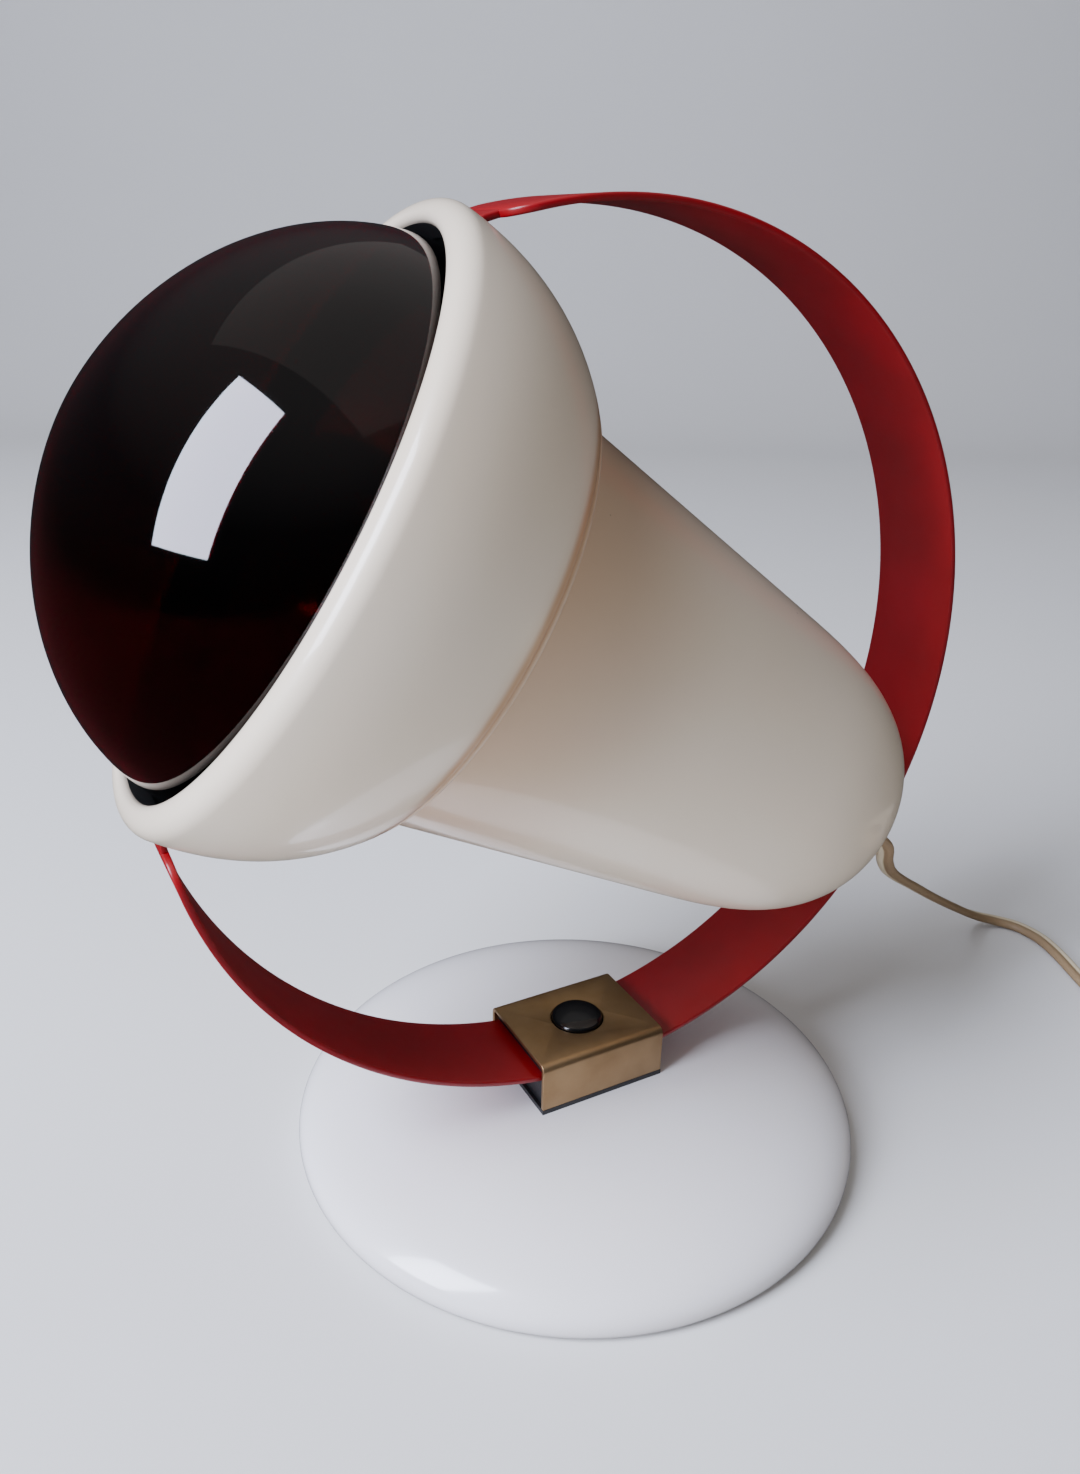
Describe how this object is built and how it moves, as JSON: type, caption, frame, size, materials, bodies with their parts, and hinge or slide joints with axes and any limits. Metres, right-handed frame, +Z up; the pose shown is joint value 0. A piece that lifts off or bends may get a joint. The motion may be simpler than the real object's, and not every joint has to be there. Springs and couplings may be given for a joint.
{
  "type": "infrared heat therapy lamp",
  "caption": "Table lamp whose cup-shaped head with a reflector bulb hangs on a strap ring that slides through a clamp on a round weighted base, with a mains cord and plug.",
  "frame": {"origin": "centre of the base's underside on the table", "axes": "+Z up, -Y the way the lamp's bulb faces, +X to the side, along the axis of the strap ring"},
  "size_m": [0.1881, 0.4072, 0.2445],
  "materials": {
    "base_enamel": "glossy ivory enamel",
    "weight_iron": "as cast",
    "plate_steel": "plain sheet steel",
    "foot_rubber": "matt",
    "fastener_steel": "plain",
    "clamp_black": "moulded, satin",
    "leaf_bronze": "spring bronze",
    "cover_brass": "satin",
    "button_black": "glossy",
    "strap_red": "deep red enamel",
    "washer_fibre": "dark fibre",
    "hood_ivory": "glossy ivory moulding",
    "shield_black": "matt black",
    "bulb_ruby": "dark ruby glass",
    "cap_brass": "plain",
    "stem_glass": "clear",
    "porcelain": "glazed porcelain",
    "wire_sleeve": "woven heat sleeve",
    "cord_cream": "cream PVC",
    "tie_white": "white PVC tape",
    "plug_cream": "moulded cream PVC",
    "pin_nickel": "nickel plate"
  },
  "bodies": {
    "stand": {"base_shell": "base_enamel", "base_weight": "weight_iron", "base_plate": "plate_steel", "foot_pad": "foot_rubber", "clamp_bolt": "fastener_steel", "bolt_washer": "fastener_steel", "clamp_block": "clamp_black", "strap_leaf": "leaf_bronze", "strap_guide": "clamp_black", "clamp_cover": "cover_brass", "button_spring": "fastener_steel", "cord_lead": "cord_cream", "cord_coil": "cord_cream", "cord_end": "cord_cream", "coil_tie": "tie_white", "plug_body": "plug_cream", "plug_pins": "pin_nickel"},
    "button": {"release_button": "button_black"},
    "ring": {"ring_strap": "strap_red"},
    "head": {"pivot_rivets": "fastener_steel", "pivot_washers": "washer_fibre", "hood": "hood_ivory", "heat_shield": "shield_black", "rear_housing": "hood_ivory", "retaining_ring": "fastener_steel", "bulb_glass": "bulb_ruby", "bulb_cap": "cap_brass", "bulb_contact": "fastener_steel", "filament_mount": "stem_glass", "lamp_holder": "porcelain", "holder_sleeve": "cap_brass", "holder_contact": "leaf_bronze", "holder_bracket": "fastener_steel", "holder_nut": "cap_brass", "bracket_screws": "fastener_steel", "terminal_block": "porcelain", "inner_wires": "wire_sleeve", "inner_lead": "cord_cream", "cord_gland": "cord_cream"}
  },
  "joints": [
    {"name": "ring_slide", "type": "hinge", "parent": "stand", "child": "ring", "pos_m": [0, 0, 0.1355], "axis": [-1, 0, 0], "range_deg": [-45, 22]},
    {"name": "head_swing", "type": "hinge", "parent": "ring", "child": "head", "pos_m": [0, -0.06187, 0.17416], "axis": [0, 0.5299, 0.848], "range_deg": [-9.5, 20.5]},
    {"name": "button_press", "type": "slide", "parent": "stand", "child": "button", "axis": [0, 0, -1], "range_m": [0, 0.0009], "stiffness_N_per_m": 800, "springref_m": -0.002, "deforming": ["button_spring"]}
  ]
}
